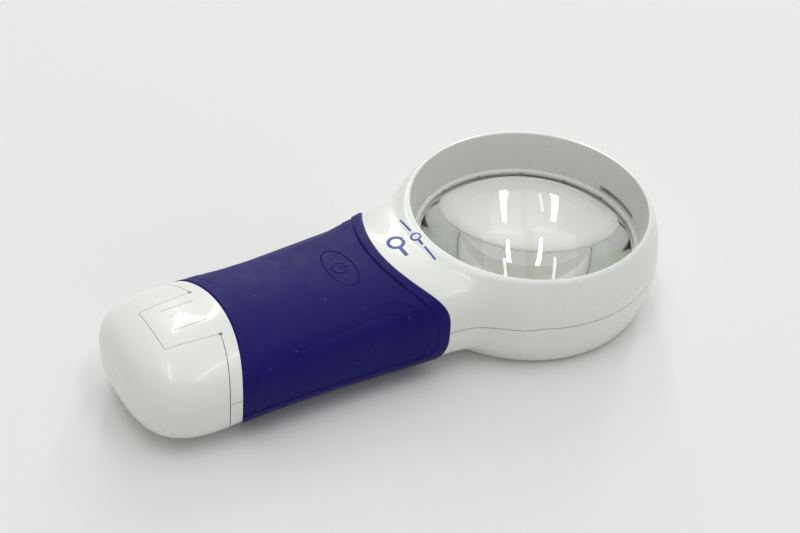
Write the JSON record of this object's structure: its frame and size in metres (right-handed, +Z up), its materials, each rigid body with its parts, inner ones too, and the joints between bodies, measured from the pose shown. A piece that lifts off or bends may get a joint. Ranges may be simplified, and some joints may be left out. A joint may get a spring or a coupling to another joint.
{
  "type": "illuminated hand magnifier",
  "caption": "Hand magnifier with a thick round lens in a white ring head, a flat battery handle in a blue rubber sleeve, an oval push button and a latched end cap.",
  "frame": {"origin": "middle of the underside of the whole object's bounding box, on the surface that it lies on", "axes": "+X along the handle towards the ring head, +Y to the left when looking along +X, +Z up through the lens, out of its viewing side"},
  "size_m": [0.1326, 0.0608, 0.024],
  "materials": {
    "white_plastic": "glossy moulded",
    "blue_rubber": "matt, fine texture",
    "lens_acrylic": "polished clear",
    "window_acrylic": "clear, slightly frosted",
    "black_plastic": "satin",
    "board_green": "solder mask",
    "steel": "nickel plated",
    "cell_label": "printed sleeve, plain",
    "led_body": "clear yellow",
    "copper": "enamelled winding",
    "red_wire": "insulation",
    "black_wire": "insulation"
  },
  "bodies": {
    "housing": {"top_housing": "white_plastic", "bottom_housing": "white_plastic", "lens_retaining_ring": "white_plastic", "light_reflector": "white_plastic", "grip_sleeve": "blue_rubber", "lens": "lens_acrylic", "light_window": "window_acrylic", "switch_body": "black_plastic", "driver_chip": "black_plastic", "limiting_resistor": "black_plastic", "battery_cradle": "black_plastic", "circuit_board": "board_green", "led_board": "board_green", "front_contact_single": "steel", "front_contact_link": "steel", "negative_strip": "steel", "front_spring_2": "steel", "housing_screw_1": "steel", "housing_screw_2": "steel", "capacitor": "steel", "cell_1": "cell_label", "cell_2": "cell_label", "cell_3": "cell_label", "led_lamp": "led_body", "inductor": "copper", "lead_red": "red_wire", "lead_black": "black_wire"},
    "button": {"button_pad": "blue_rubber", "button_key": "black_plastic", "switch_stem": "black_plastic"},
    "cap": {"battery_cap": "white_plastic", "cap_contact_link": "steel", "cap_contact_single": "steel", "cap_spring_1": "steel", "cap_spring_3": "steel"},
    "latch": {"latch_tongue": "white_plastic"}
  },
  "joints": [
    {"name": "button_press", "type": "slide", "parent": "housing", "child": "button", "axis": [0, 0, -1], "range_m": [0, 0.0005], "stiffness_N_per_m": 800},
    {"name": "cap_slide", "type": "slide", "parent": "housing", "child": "cap", "axis": [-1, 0, 0], "range_m": [0, 0.04]},
    {"name": "latch_flex", "type": "hinge", "parent": "housing", "child": "latch", "pos_m": [-0.04481, 0, 0.0216], "axis": [0, -1, 0], "range_deg": [0, 4], "stiffness_Nm_per_rad": 1.5}
  ]
}
